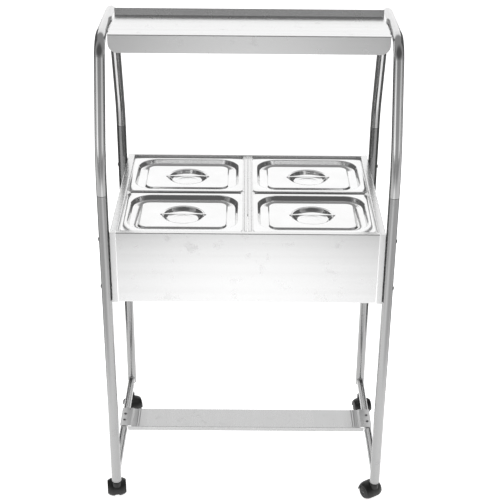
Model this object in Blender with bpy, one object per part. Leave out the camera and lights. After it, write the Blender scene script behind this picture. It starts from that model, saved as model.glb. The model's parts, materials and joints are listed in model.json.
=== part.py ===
"""Food service trolley: a tubular steel frame on four twin-wheel casters, with a sheet steel well.

The well holds four lidded half-size pans. A serving shelf joins the two upper hoops, and a narrow plate
joins the two base rails near the floor.

Metres, +Z up. The origin is on the floor under the middle of the trolley and the front faces -Y.
Left and right are as seen by someone who stands in front of the trolley.
"""

import math

import bmesh
import bpy
from mathutils import Matrix, Vector

# Driving dimensions.
CLEARANCE = 0.0003  # between pieces that touch
SHEET = 0.0012  # sheet steel and tube wall
SIDES = {"left": -1, "right": 1}

FRONT = -0.280  # outer face of the well's front panel
WELL_DEPTH = 0.567
REAR = FRONT + WELL_DEPTH
WELL_HALF_WIDTH = 0.359
WELL_TOP = 0.860
WELL_HEIGHT = 0.202
WELL_BOTTOM = WELL_TOP - WELL_HEIGHT

TUBE_RADIUS = 0.014
TUBE_OFFSET = 0.3742  # middle plane of each side frame
FRONT_LEG_Y = FRONT + 0.012
REAR_POST_Y = FRONT + 0.537
FRONT_LEG_FOOT = 0.067
REAR_POST_FOOT = 0.071
JOINT_HEIGHT = 0.961  # where the hoops plug into the legs and posts

HOOP_TOP = 1.340  # axis of the hoop's level run
HOOP_FRONT_KNEE = 1.046
HOOP_REAR_KNEE = 1.010
HOOP_FRONT_LEAN = 0.104  # how far the front of the hoop leans back
HOOP_REAR_LEAN = 0.104  # how far the rear of the hoop leans forward
HOOP_BEND = 0.070
HOOP_FRONT_KNEE_BEND = 0.455
HOOP_REAR_KNEE_BEND = 0.280
SPIGOT_LENGTH = 0.050
SPIGOT_ROOT = 0.003  # the bore narrows this far above the spigot

RAIL_RADIUS = 0.011
RAIL_HEIGHT = 0.084

SHELF_HALF_WIDTH = 0.3565
SHELF_FRONT = FRONT + 0.132
SHELF_REAR = FRONT + 0.321
SHELF_TOP = 1.346
SHELF_LIP = 0.047
SHELF_UPSTAND = 0.019
SHELF_FLANGE = 0.019
SHELF_CORNER = 0.024

PLATE_FRONT = FRONT + 0.243
PLATE_REAR = FRONT + 0.341
PLATE_HALF_WIDTH = 0.3855
PLATE_TOP = RAIL_HEIGHT + RAIL_RADIUS + CLEARANCE + SHEET
PLATE_RECESS = 0.003  # the plate's floor lies this far below the tabs on the rails
PLATE_TAB_INNER = 0.3525
PLATE_FLOOR_EDGE = 0.3290
PLATE_LIP = 0.013

PAN_WIDTH = 0.325
PAN_DEPTH = 0.265
PAN_HEIGHT = 0.150
PAN_SPACING = 0.270
PAN_OFFSET = 0.1748
PAN_RIM = 0.011
PAN_CORNER = 0.040
RIM_CORNER = 0.012  # round of the outer corners of the pans and the lids
FIRST_PAN_Y = FRONT + 0.019 + PAN_DEPTH / 2
LEDGE_DROP = 0.008
LEDGE_WIDTH = 0.010

PAN_FOOT = 0.012  # round between the pan's wall and its floor
PAN_TAPER = 0.006

LID_WIDTH = 0.321
LID_DEPTH = 0.255
LID_SHEET = 0.0010
LID_CHANNEL = 0.013  # how far the channel behind the lid's flat edge sinks into the pan
LID_FIELD = 0.008  # how far the middle of the lid lies below its edge
LID_BOWL = 0.016  # depth of the round bowl under the handle
BOWL_RADIUS = 0.056

HANDLE_HALF_LENGTH = 0.062
HANDLE_RISE = 0.003
HANDLE_SHEET = 0.0018

WHEEL_RADIUS = 0.025
CASTER_TRAIL = 0.018
CASTER_HALF_WIDTH = 0.0275
CASTER_TOP = 0.0600
CASTER_PLACES = {
    # name: (x side, y, turn of the wheels about the stem in degrees)
    "front_left": (-1, FRONT_LEG_Y, 8.0),
    "front_right": (1, FRONT_LEG_Y, 34.0),
    "rear_left": (-1, REAR_POST_Y - 0.052, 201.0),
    "rear_right": (1, REAR_POST_Y - 0.052, 190.0),
}


# Scene and materials.


def clear_scene():
    for obj in list(bpy.data.objects):
        bpy.data.objects.remove(obj, do_unlink=True)


def finish_of(name, colour, roughness, metallic):
    material = bpy.data.materials.new(name)
    material.use_nodes = True
    shader = material.node_tree.nodes["Principled BSDF"]
    shader.inputs["Base Color"].default_value = (*colour, 1.0)
    shader.inputs["Roughness"].default_value = roughness
    shader.inputs["Metallic"].default_value = metallic
    return material


def new_object(name, mesh_data, material=None, place=(0, 0, 0), parent=None):
    mesh = bpy.data.meshes.new(name)
    bmesh.ops.recalc_face_normals(mesh_data, faces=mesh_data.faces)
    mesh_data.to_mesh(mesh)
    mesh_data.free()
    obj = bpy.data.objects.new(name, mesh)
    bpy.context.collection.objects.link(obj)
    obj.location = place
    obj.parent = parent
    if material:
        mesh.materials.append(material)
    mesh.shade_smooth()
    mesh.set_sharp_from_angle(angle=math.radians(35))
    return obj


def new_helper(name, mesh_data, place=(0, 0, 0), parent=None):
    """A shape that cuts or joins another and is not a piece itself."""
    obj = new_object(name, mesh_data, place=place, parent=parent)
    obj.hide_render = True
    obj.display_type = "WIRE"
    return obj


def combine(obj, helper, operation):
    modifier = obj.modifiers.new(operation.lower(), "BOOLEAN")
    modifier.operation = operation
    modifier.object = helper
    modifier.solver = "EXACT"


# Shapes.


def loft(loops, ring=False):
    """Skins a row of loops that have equal numbers of points. A ring joins the last loop to the first."""
    bm = bmesh.new()
    rows = [[bm.verts.new(point) for point in loop] for loop in loops]
    pairs = list(zip(rows, rows[1:]))
    if ring:
        pairs.append((rows[-1], rows[0]))
    for below, above in pairs:
        for k in range(len(below)):
            after = (k + 1) % len(below)
            bm.faces.new((below[k], below[after], above[after], above[k]))
    if not ring:
        bm.faces.new(rows[0])
        bm.faces.new(rows[-1])
    return bm


def turned(profile, sides, axis="Z", ring=False):
    """A turned piece. The profile holds (radius, place along the axis) from one end to the other."""
    loops = []
    for radius, along in profile:
        loop = []
        for k in range(sides):
            angle = 2 * math.pi * (k + 0.5) / sides
            a, b = radius * math.cos(angle), radius * math.sin(angle)
            loop.append({"Z": (a, b, along), "X": (along, a, b), "Y": (b, along, a)}[axis])
        loops.append(loop)
    return loft(loops, ring)


def tube_along(outside, inside, sides):
    """A hollow tube in a plane of constant x. Each wall is a row of (point on the axis, radius)."""
    loops = []
    for stations in (outside, inside[::-1]):
        points = [point for point, _ in stations]
        for k, (point, radius) in enumerate(stations):
            direction = points[min(k + 1, len(points) - 1)] - points[max(k - 1, 0)]
            across = Vector((1, 0, 0))
            up = direction.normalized().cross(across)
            angles = [2 * math.pi * (s + 0.5) / sides for s in range(sides)]
            if stations is not outside:
                up = -up
            loops.append([point + radius * (math.cos(a) * across + math.sin(a) * up) for a in angles])
    return loft(loops, ring=True)


def straight_tube(start, end, radius):
    """A plain hollow tube of sheet thickness."""
    outside = [(Vector(start), radius), (Vector(end), radius)]
    inside = [(Vector(start), radius - SHEET), (Vector(end), radius - SHEET)]
    return tube_along(outside, inside, TUBE_SIDES)


def rounded_path(corners, bends, steps):
    """Points along straight runs joined by round bends. bends has a radius for each inner corner."""
    path = [corners[0]]
    for k in range(1, len(corners) - 1):
        corner, radius = corners[k], bends[k - 1]
        back = (corners[k - 1] - corner).normalized()
        ahead = (corners[k + 1] - corner).normalized()
        half = back.angle(ahead) / 2
        centre = corner + (back + ahead).normalized() * radius / math.sin(half)
        start = corner + back * radius / math.tan(half) - centre
        end = corner + ahead * radius / math.tan(half) - centre
        turn = start.angle(end)
        for s in range(steps[k - 1] + 1):
            part = s / steps[k - 1]
            weight_start = math.sin((1 - part) * turn) / math.sin(turn)
            weight_end = math.sin(part * turn) / math.sin(turn)
            path.append(centre + start * weight_start + end * weight_end)
    path.append(corners[-1])
    return path


def prism(outline, axis, low, high):
    """Extrudes an outline of two coordinates along X, Y or Z. The other two axes keep their order."""

    def at(pair, along):
        a, b = pair
        return {"X": (along, a, b), "Y": (a, along, b), "Z": (a, b, along)}[axis]

    return loft([[at(pair, low) for pair in outline], [at(pair, high) for pair in outline]])


def folded(points, thickness):
    """The outline of a folded sheet. The points run along one face and the sheet lies to their left."""
    line = [Vector(point) for point in points]
    inner = []
    for k, point in enumerate(line):
        before = (point - line[k - 1]).normalized() if k > 0 else None
        after = (line[k + 1] - point).normalized() if k < len(line) - 1 else None
        sides = [Vector((-d.y, d.x)) for d in (before, after) if d is not None]
        normal = sum(sides, Vector((0, 0))).normalized()
        inner.append(point + normal * thickness / normal.dot(sides[0]))
    return [tuple(p) for p in line] + [tuple(p) for p in reversed(inner)]


def block(low, high):
    outline = [(low[0], low[1]), (high[0], low[1]), (high[0], high[1]), (low[0], high[1])]
    return prism(outline, "Z", low[2], high[2])


def round_corners(half_x, half_y, radius, z, steps=4):
    """A rounded rectangle, the same number of points whatever its size."""
    loop = []
    for quarter in range(4):
        sx, sy = ((1, 1), (-1, 1), (-1, -1), (1, -1))[quarter]
        for s in range(steps + 1):
            angle = math.radians(90 * quarter + 90 * s / steps)
            x = sx * (half_x - radius) + radius * math.cos(angle)
            y = sy * (half_y - radius) + radius * math.sin(angle)
            loop.append((x, y, z))
    return loop


def oval(half_x, half_y, z, steps=4):
    """An oval with as many points as round_corners gives."""
    count = 4 * (steps + 1)
    angles = [2 * math.pi * (k + 0.5) / count for k in range(count)]
    return [(half_x * math.cos(a), half_y * math.sin(a), z) for a in angles]


def merged(pieces):
    """Several separate bodies in one mesh, each with its own offset."""
    whole = bmesh.new()
    for bm, offset in pieces:
        bmesh.ops.recalc_face_normals(bm, faces=bm.faces)
        bmesh.ops.transform(bm, matrix=Matrix.Translation(offset), verts=bm.verts)
        mesh = bpy.data.meshes.new("joined")
        bm.to_mesh(mesh)
        bm.free()
        whole.from_mesh(mesh)
        bpy.data.meshes.remove(mesh)
    return whole


# Tubular frame.

WELL_BOLT_HEIGHTS = (WELL_TOP - 0.024, WELL_BOTTOM + 0.040)
STEM_RADIUS = 0.005
STEM_HOLE_RADIUS = 0.0054
BOLT_HOLE_RADIUS = 0.0034
HOLE_SIDES = 12
TUBE_SIDES = 12
PLUG_FLANGE = 0.004
CAP_CROWN = 0.003
CAP_DEPTH = 0.008
PLUG_DEPTH = 0.022


def add_legs(steel):
    for side, sign in SIDES.items():
        ends = (("front_leg", FRONT_LEG_Y, FRONT_LEG_FOOT), ("rear_post", REAR_POST_Y, REAR_POST_FOOT))
        for end, y, foot in ends:
            bm = straight_tube((0, 0, foot), (0, 0, JOINT_HEIGHT - CLEARANCE), TUBE_RADIUS)
            leg = new_object(f"{end}_{side}", bm, steel, place=(sign * TUBE_OFFSET, y, 0))
            drill = [(BOLT_HOLE_RADIUS, -0.02), (BOLT_HOLE_RADIUS, 0.02)]
            drills = [(turned(drill, HOLE_SIDES, "X"), (0, 0, z)) for z in WELL_BOLT_HEIGHTS]
            holes = new_helper(f"{end}_{side}_holes", merged(drills), place=leg.location)
            combine(leg, holes, "DIFFERENCE")


def hoop_path():
    corners = [
        Vector((0, FRONT_LEG_Y, JOINT_HEIGHT)),
        Vector((0, FRONT_LEG_Y, HOOP_FRONT_KNEE)),
        Vector((0, FRONT_LEG_Y + HOOP_FRONT_LEAN, HOOP_TOP)),
        Vector((0, REAR_POST_Y - HOOP_REAR_LEAN, HOOP_TOP)),
        Vector((0, REAR_POST_Y, HOOP_REAR_KNEE)),
        Vector((0, REAR_POST_Y, JOINT_HEIGHT)),
    ]
    bends = [HOOP_FRONT_KNEE_BEND, HOOP_BEND, HOOP_BEND, HOOP_REAR_KNEE_BEND]
    return rounded_path(corners, bends, steps=[4, 6, 6, 4])


def add_hoops(steel):
    """Bent side hoops. Both ends are drawn down to a spigot that slides into the leg or the post."""
    spigot = TUBE_RADIUS - SHEET - 2 * CLEARANCE
    drop, root = Vector((0, 0, -SPIGOT_LENGTH)), Vector((0, 0, SPIGOT_ROOT))
    path = hoop_path()
    outside = [(point, TUBE_RADIUS) for point in path]
    inside = [(point, TUBE_RADIUS - SHEET) for point in path[1:-1]]
    for end, at in ((path[0], 0), (path[-1], 1)):
        neck = [(end, spigot), (end + drop, spigot)]
        throat = [(end + root, spigot - SHEET), (end + drop, spigot - SHEET)]
        outside = outside + neck if at else neck[::-1] + outside
        inside = inside + throat if at else throat[::-1] + inside
    for side, sign in SIDES.items():
        bm = tube_along(outside, inside, TUBE_SIDES)
        new_object(f"hoop_{side}", bm, steel, place=(sign * TUBE_OFFSET, 0, 0))


def add_base_rails(steel):
    """Lower side tubes, their ends cut to the round of the leg and the post."""
    for side, sign in SIDES.items():
        bm = straight_tube((0, FRONT_LEG_Y, RAIL_HEIGHT), (0, REAR_POST_Y, RAIL_HEIGHT), RAIL_RADIUS)
        rail = new_object(f"base_rail_{side}", bm, steel, place=(sign * TUBE_OFFSET, 0, 0))
        cope = [(TUBE_RADIUS + 2 * CLEARANCE, -0.03), (TUBE_RADIUS + 2 * CLEARANCE, 0.03)]
        cuts = [(turned(cope, 2 * TUBE_SIDES), (0, y, RAIL_HEIGHT)) for y in (FRONT_LEG_Y, REAR_POST_Y)]
        drill = [(STEM_HOLE_RADIUS, -0.02), (STEM_HOLE_RADIUS, 0.02)]
        cuts.append((turned(drill, HOLE_SIDES), (0, CASTER_PLACES["rear_" + side][1], RAIL_HEIGHT)))
        holes = new_helper(f"base_rail_{side}_cuts", merged(cuts), place=rail.location)
        combine(rail, holes, "DIFFERENCE")


def add_leg_plugs(plastic):
    """Inserts that close the lower ends: bored for a caster stem in the legs, plain in the posts."""
    insert = TUBE_RADIUS - SHEET - 2 * CLEARANCE
    flange = TUBE_RADIUS + 0.0002
    bored = [
        (STEM_HOLE_RADIUS, -PLUG_FLANGE),
        (flange, -PLUG_FLANGE),
        (flange, -CLEARANCE),
        (insert, -CLEARANCE),
        (insert, PLUG_DEPTH),
        (STEM_HOLE_RADIUS, PLUG_DEPTH),
    ]
    plain = [
        (TUBE_RADIUS - 0.001, -CAP_CROWN),
        (TUBE_RADIUS, -CLEARANCE),
        (insert, -CLEARANCE),
        (insert, CAP_DEPTH),
    ]
    for side, sign in SIDES.items():
        socket = (sign * TUBE_OFFSET, FRONT_LEG_Y, FRONT_LEG_FOOT)
        new_object(f"leg_plug_{side}", turned(bored, TUBE_SIDES, ring=True), plastic, place=socket)
        end = (sign * TUBE_OFFSET, REAR_POST_Y, REAR_POST_FOOT)
        new_object(f"post_cap_{side}", turned(plain, TUBE_SIDES), plastic, place=end)


# Cross plate.


def add_cross_plate(steel):
    half = PLATE_HALF_WIDTH
    floor = PLATE_TOP - PLATE_RECESS
    top_face = [(half, PLATE_TOP), (PLATE_TAB_INNER, PLATE_TOP), (PLATE_FLOOR_EDGE, floor)]
    top_face += [(-x, z) for x, z in reversed(top_face)]
    plate = new_object("cross_plate", prism(folded(top_face, SHEET), "Y", PLATE_FRONT, PLATE_REAR), steel)
    lip_half = TUBE_OFFSET - RAIL_RADIUS - 0.002
    for name, low in (("front", PLATE_FRONT), ("rear", PLATE_REAR - SHEET)):
        bottom = floor - SHEET / 2 - PLATE_LIP
        lip = block((-lip_half, low, bottom), (lip_half, low + SHEET, floor - SHEET / 2))
        combine(plate, new_helper(f"cross_plate_{name}_lip", lip), "UNION")


# Pan well.

SIDE_TOP_WIDTH = 0.0200
SIDE_DROP = 0.0015  # the side panels reach this far below the front and rear panels
FOOT_FLANGE = 0.010  # inward flange along the foot of the front and rear panels
DIVIDER_HALF_WIDTH = 0.0095
BOLT_SHANK = 0.003
BOLT_HEAD = 0.0054
BOLT_DOME = 0.0030
BOLT_REACH = 0.008  # how far a bolt ends inside the well
CORNER_WIDTH = 0.0150
FRONT_RETURN = 0.0175
REAR_RETURN = 0.0115
HEM = 0.012


def add_end_panel(name, face, inward, top_return, steel):
    """The front or rear panel. face is the y of its outer side, and inward the sign of y inside."""
    half = WELL_HALF_WIDTH - CORNER_WIDTH - 0.0005
    inner = face + inward * top_return
    outline = [
        (face + inward * FOOT_FLANGE, WELL_BOTTOM),
        (face, WELL_BOTTOM),
        (face, WELL_TOP),
        (inner, WELL_TOP),
        (inner, WELL_TOP - HEM),
    ]
    outline = folded(outline, -inward * SHEET)
    new_object(name, prism(outline, "X", -half, half), steel)


def add_side_panels(steel):
    """Each side panel wraps a flange round the two corners and carries the ledge for the pans."""
    runs = (FRONT + FRONT_RETURN + CLEARANCE, REAR - REAR_RETURN - CLEARANCE)
    for side, sign in SIDES.items():
        outer = WELL_HALF_WIDTH
        section = [
            (outer, WELL_BOTTOM - SIDE_DROP),
            (outer, WELL_TOP),
            (outer - SIDE_TOP_WIDTH, WELL_TOP),
            (outer - SIDE_TOP_WIDTH, WELL_TOP - LEDGE_DROP),
            (outer - SIDE_TOP_WIDTH - LEDGE_WIDTH, WELL_TOP - LEDGE_DROP),
        ]
        section = [(sign * x, z) for x, z in folded(section, SHEET)]
        panel = new_object(f"side_panel_{side}", prism(section, "Y", *runs), steel)
        plan = [(outer - CORNER_WIDTH, FRONT), (outer, FRONT), (outer, REAR), (outer - CORNER_WIDTH, REAR)]
        plan = [(sign * x, y) for x, y in folded(plan, SHEET)]
        wrap = prism(plan, "Z", WELL_BOTTOM - SIDE_DROP, WELL_TOP)
        combine(panel, new_helper(f"side_panel_{side}_wrap", wrap), "UNION")
        for end, low, high in (("front", FRONT, runs[0] + 0.001), ("rear", runs[1] - 0.001, REAR)):
            xs = sorted((sign * outer, sign * (outer - CORNER_WIDTH)))
            cap = block((xs[0], low, WELL_TOP - SHEET), (xs[1], high, WELL_TOP))
            combine(panel, new_helper(f"side_panel_{side}_{end}_cap", cap), "UNION")
        drill = [(BOLT_HOLE_RADIUS, -0.005), (BOLT_HOLE_RADIUS, 0.005)]
        places = [(sign * outer, y, z) for y in (FRONT_LEG_Y, REAR_POST_Y) for z in WELL_BOLT_HEIGHTS]
        drills = merged([(turned(drill, HOLE_SIDES, "X"), place) for place in places])
        combine(panel, new_helper(f"side_panel_{side}_holes", drills), "DIFFERENCE")


def add_divider(steel):
    half = DIVIDER_HALF_WIDTH
    section = [
        (half + LEDGE_WIDTH, WELL_TOP - LEDGE_DROP),
        (half, WELL_TOP - LEDGE_DROP),
        (half, WELL_TOP),
    ]
    section += [(-x, z) for x, z in reversed(section)]
    outline = folded(section, SHEET)
    runs = (FRONT + FRONT_RETURN + CLEARANCE, REAR - REAR_RETURN - CLEARANCE)
    new_object("centre_divider", prism(outline, "Y", *runs), steel)


def add_well_bolts(steel):
    """Button-head bolts that enter from outside the tubes and hold the well to the legs and posts."""
    seat = TUBE_OFFSET + TUBE_RADIUS + CLEARANCE
    tip = WELL_HALF_WIDTH - BOLT_REACH
    profile = [
        (BOLT_SHANK, tip),
        (BOLT_SHANK, seat),
        (BOLT_HEAD, seat),
        (BOLT_HEAD - 0.0003, seat + BOLT_DOME / 2),
        (BOLT_SHANK, seat + BOLT_DOME),
    ]
    for side, sign in SIDES.items():
        outward = [(radius, sign * along) for radius, along in profile]
        for end, y in (("front", FRONT_LEG_Y), ("rear", REAR_POST_Y)):
            for level, z in zip(("upper", "lower"), WELL_BOLT_HEIGHTS):
                bolt = turned(outward, HOLE_SIDES, "X")
                new_object(f"well_bolt_{end}_{side}_{level}", bolt, steel, place=(0, y, z))


# Pans and lids.


def add_pans(steel, lid_steel):
    rim_z = WELL_TOP - LEDGE_DROP + CLEARANCE
    for row, y in (("front", FIRST_PAN_Y), ("rear", FIRST_PAN_Y + PAN_SPACING)):
        for side, sign in SIDES.items():
            place = (sign * PAN_OFFSET, y, rim_z)
            add_pan(f"pan_{row}_{side}", place, steel)
            add_lid(f"{row}_{side}", (place[0], y - 0.001, rim_z + SHEET + CLEARANCE), lid_steel)


def add_pan(name, place, steel):
    half_x, half_y = PAN_WIDTH / 2, PAN_DEPTH / 2
    wall_x, wall_y = half_x - PAN_RIM, half_y - PAN_RIM
    low_x, low_y = wall_x - PAN_TAPER, wall_y - PAN_TAPER
    foot_x, foot_y = low_x - PAN_FOOT, low_y - PAN_FOOT
    floor = SHEET - PAN_HEIGHT
    loops = [
        round_corners(foot_x - SHEET, foot_y - SHEET, PAN_CORNER, floor),
        round_corners(low_x - SHEET, low_y - SHEET, PAN_CORNER, floor + PAN_FOOT),
        round_corners(wall_x - SHEET, wall_y - SHEET, PAN_CORNER, SHEET),
        round_corners(half_x, half_y, RIM_CORNER, SHEET),
        round_corners(half_x, half_y, RIM_CORNER, 0),
        round_corners(wall_x, wall_y, PAN_CORNER, 0),
        round_corners(low_x, low_y, PAN_CORNER, floor + PAN_FOOT),
        round_corners(foot_x, foot_y, PAN_CORNER, floor - SHEET),
    ]
    new_object(name, loft(loops), steel, place=place)


def add_lid(where, place, steel):
    """A pressed lid: a flat edge on the pan's rim, a dropped channel, a middle field and a bowl."""
    half_x, half_y = LID_WIDTH / 2, LID_DEPTH / 2
    rings = [
        # (distance in from the edge, corner radius, height of the upper face above the lid's seat)
        (0, RIM_CORNER, LID_SHEET),
        (0.0125, 0.0450, LID_SHEET),
        (0.0200, 0.0375, LID_SHEET - LID_CHANNEL),
        (0.0420, 0.0230, LID_SHEET - LID_CHANNEL),
        (0.0475, 0.0180, LID_SHEET - LID_FIELD),
    ]
    upper = [round_corners(half_x - inset, half_y - inset, radius, z) for inset, radius, z in rings]
    bowl_floor = BOWL_RADIUS - LID_BOWL + 0.001
    upper.append(oval(BOWL_RADIUS, BOWL_RADIUS, LID_SHEET - LID_FIELD))
    upper.append(oval(bowl_floor, bowl_floor, LID_SHEET - LID_FIELD - LID_BOWL))
    under = [[(x, y, z - LID_SHEET) for x, y, z in loop] for loop in upper]
    lid = new_object(f"lid_{where}", loft(upper[::-1] + under), steel, place=place)
    add_lid_handle(where, lid, LID_SHEET - LID_FIELD + CLEARANCE, steel)


def add_lid_handle(where, lid, seat, steel):
    """A strap across the bowl: flat on the lid at both ends, arched in between and narrow at its tips."""
    stations, flat_from, tip, widening = 11, 0.84, 0.0035, 0.0055
    loops = []
    for k in range(stations):
        t = -1 + 2 * k / (stations - 1)
        bow = 0.5 + 0.5 * math.cos(math.pi * min(1.0, abs(t) / flat_from))
        half_width = tip + widening * bow
        low = seat + HANDLE_RISE * bow
        high = low + HANDLE_SHEET
        section = [(-half_width, low), (half_width, low), (half_width, high), (-half_width, high)]
        loops.append([(HANDLE_HALF_LENGTH * t, y, z) for y, z in section])
    new_object(f"lid_handle_{where}", loft(loops), steel, place=lid.location)


# Serving shelf.


def add_top_shelf(steel):
    half = SHELF_HALF_WIDTH
    under = SHELF_TOP - SHEET
    section = [(SHELF_REAR, SHELF_TOP + SHELF_UPSTAND), (SHELF_REAR, under), (SHELF_FRONT, under)]
    outline = folded(section, -SHEET)
    shelf = new_object("top_shelf", prism(outline, "X", -half, half), steel)
    add_shelf_lip(shelf)
    for side, sign in SIDES.items():
        xs = sorted((sign * half, sign * (half - SHEET)))
        low = (xs[0], SHELF_FRONT, SHELF_TOP - SHELF_FLANGE)
        flange = block(low, (xs[1], SHELF_REAR, SHELF_TOP - SHEET / 2))
        combine(shelf, new_helper(f"top_shelf_{side}_flange", flange), "UNION")


def add_shelf_lip(shelf):
    """The front of the shelf turns down, with its two lower corners rounded."""
    half, bottom = SHELF_HALF_WIDTH, SHELF_TOP - SHELF_LIP
    steps = 5
    outline = [(half, SHELF_TOP), (-half, SHELF_TOP)]
    for sx, first in ((-1, 180), (1, 270)):
        for s in range(steps + 1):
            angle = math.radians(first + 90 * s / steps)
            x = sx * (half - SHELF_CORNER) + SHELF_CORNER * math.cos(angle)
            outline.append((x, bottom + SHELF_CORNER + SHELF_CORNER * math.sin(angle)))
    lip = prism(outline, "Y", SHELF_FRONT, SHELF_FRONT + SHEET)
    combine(shelf, new_helper("top_shelf_lip", lip), "UNION")


# Casters. Each is drawn with its stem at the origin and its wheels behind it, then turned about the stem.

AXLE_RADIUS = 0.0025
AXLE_BORE = 0.0028
HOOD_GAP = 0.0015
HOOD_WALL = 0.0025
WEB_HALF = 0.0035
BOSS_RADIUS = 0.0115
BOSS_FOOT = 0.044
NECK_RADIUS = 0.0034
NECK_FOOT = 0.049
NECK_BORE = 0.0038
COLLAR_RADIUS = 0.0085


def add_caster(where, sign, y, turn, black, steel):
    pivot = bpy.data.objects.new(f"caster_{where}_pivot", None)
    bpy.context.collection.objects.link(pivot)
    pivot.location = (sign * TUBE_OFFSET, y, 0)
    pivot.rotation_euler = (0, 0, math.radians(turn))
    add_caster_stem(where, pivot, steel)
    add_caster_hood(where, pivot, black)
    axle_end = CASTER_HALF_WIDTH - 0.002
    axle = [(AXLE_RADIUS, -axle_end), (AXLE_RADIUS, axle_end)]
    centre = (0, CASTER_TRAIL, WHEEL_RADIUS)
    new_object(f"caster_{where}_axle", turned(axle, HOLE_SIDES, "X"), steel, place=centre, parent=pivot)
    for side, across in SIDES.items():
        new_object(f"caster_{where}_wheel_{side}", wheel_shape(across), black, place=centre, parent=pivot)


def wheel_shape(across):
    profile = [
        (AXLE_BORE, 0.0050),
        (0.0225, 0.0050),
        (WHEEL_RADIUS, 0.0075),
        (WHEEL_RADIUS, 0.0220),
        (0.0225, 0.0262),
        (0.0120, CASTER_HALF_WIDTH),
        (AXLE_BORE, CASTER_HALF_WIDTH),
    ]
    return turned([(r, across * x) for r, x in profile], 20, "X", ring=True)


def add_caster_stem(where, pivot, steel):
    """A stem with a collar under the leg's plug or the rail, and a neck that the hood turns on."""
    in_leg = where.startswith("front")
    stop = (FRONT_LEG_FOOT - PLUG_FLANGE if in_leg else RAIL_HEIGHT - RAIL_RADIUS) - CLEARANCE
    top = FRONT_LEG_FOOT + PLUG_DEPTH + 0.004 if in_leg else RAIL_HEIGHT + RAIL_RADIUS - 0.004
    collar = CASTER_TOP + CLEARANCE
    profile = [
        (NECK_RADIUS, NECK_FOOT),
        (NECK_RADIUS, collar),
        (COLLAR_RADIUS, collar),
        (COLLAR_RADIUS, stop),
        (STEM_RADIUS, stop),
        (STEM_RADIUS, top),
    ]
    new_object(f"caster_{where}_stem", turned(profile, HOLE_SIDES), steel, parent=pivot)


def add_caster_hood(where, pivot, black):
    """The housing: a curved fender over both wheels, a web between them and a boss for the stem."""
    inner, outer = WHEEL_RADIUS + HOOD_GAP, WHEEL_RADIUS + HOOD_GAP + HOOD_WALL
    steps, first, last = 12, -8.0, 208.0
    arc = [math.radians(first + (last - first) * s / steps) for s in range(steps + 1)]
    centre_y, centre_z = CASTER_TRAIL, WHEEL_RADIUS

    def on_arc(radius, angle):
        return (centre_y + radius * math.cos(angle), centre_z + radius * math.sin(angle))

    fender = [on_arc(outer, a) for a in arc] + [on_arc(inner, a) for a in reversed(arc)]
    half = CASTER_HALF_WIDTH
    hood = new_object(f"caster_{where}_hood", prism(fender, "X", -half, half), black, parent=pivot)
    middle = inner + HOOD_WALL / 2
    web = [on_arc(middle, a) for a in arc] + [(centre_y + 0.004, 0.0125)]
    helpers = [("web", prism(web, "X", -WEB_HALF, WEB_HALF))]
    helpers.append(("boss", turned([(BOSS_RADIUS, BOSS_FOOT), (BOSS_RADIUS, CASTER_TOP)], TUBE_SIDES)))
    for name, bm in helpers:
        combine(hood, new_helper(f"caster_{where}_{name}", bm, parent=pivot), "UNION")
    bore = turned([(NECK_BORE, NECK_FOOT - 0.001), (NECK_BORE, CASTER_TOP + 0.01)], HOLE_SIDES)
    cross = turned([(AXLE_BORE, -0.01), (AXLE_BORE, 0.01)], HOLE_SIDES, "X")
    bores = merged([(bore, (0, 0, 0)), (cross, (0, CASTER_TRAIL, WHEEL_RADIUS))])
    combine(hood, new_helper(f"caster_{where}_bores", bores, parent=pivot), "DIFFERENCE")
    room = inner - CLEARANCE
    rooms = []
    for across in SIDES.values():
        profile = [(room, across * WEB_HALF), (room, across * (half + 0.002))]
        rooms.append((turned(profile, 40, "X"), (0, CASTER_TRAIL, WHEEL_RADIUS)))
    combine(hood, new_helper(f"caster_{where}_wheel_room", merged(rooms), parent=pivot), "DIFFERENCE")


def main():
    clear_scene()
    polished = finish_of("polished_tube", (0.62, 0.62, 0.63), 0.22, 1.0)
    brushed = finish_of("brushed_sheet", (0.72, 0.72, 0.73), 0.34, 1.0)
    bright = finish_of("bright_pressing", (0.80, 0.80, 0.81), 0.14, 1.0)
    zinc = finish_of("zinc_fastener", (0.55, 0.55, 0.56), 0.30, 1.0)
    grey = finish_of("grey_plug", (0.55, 0.55, 0.56), 0.50, 0.0)
    black = finish_of("black_nylon", (0.02, 0.02, 0.022), 0.45, 0.0)

    add_legs(polished)
    add_hoops(polished)
    add_base_rails(polished)
    add_leg_plugs(grey)
    add_cross_plate(brushed)

    add_end_panel("front_panel", FRONT, 1, FRONT_RETURN, brushed)
    add_end_panel("rear_panel", REAR, -1, REAR_RETURN, brushed)
    add_side_panels(brushed)
    add_divider(brushed)
    add_well_bolts(zinc)

    add_pans(bright, bright)

    add_top_shelf(brushed)

    for where, (sign, y, turn) in CASTER_PLACES.items():
        add_caster(where, sign, y, turn, black, zinc)


main()
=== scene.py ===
"""Looks of the food service trolley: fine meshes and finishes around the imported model.

Metres, +Z up. The front faces -Y. Left and right are as seen by someone who stands in front.
"""

import json
import math

import bmesh
import bpy
from mathutils import Euler, Matrix, Vector


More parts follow.
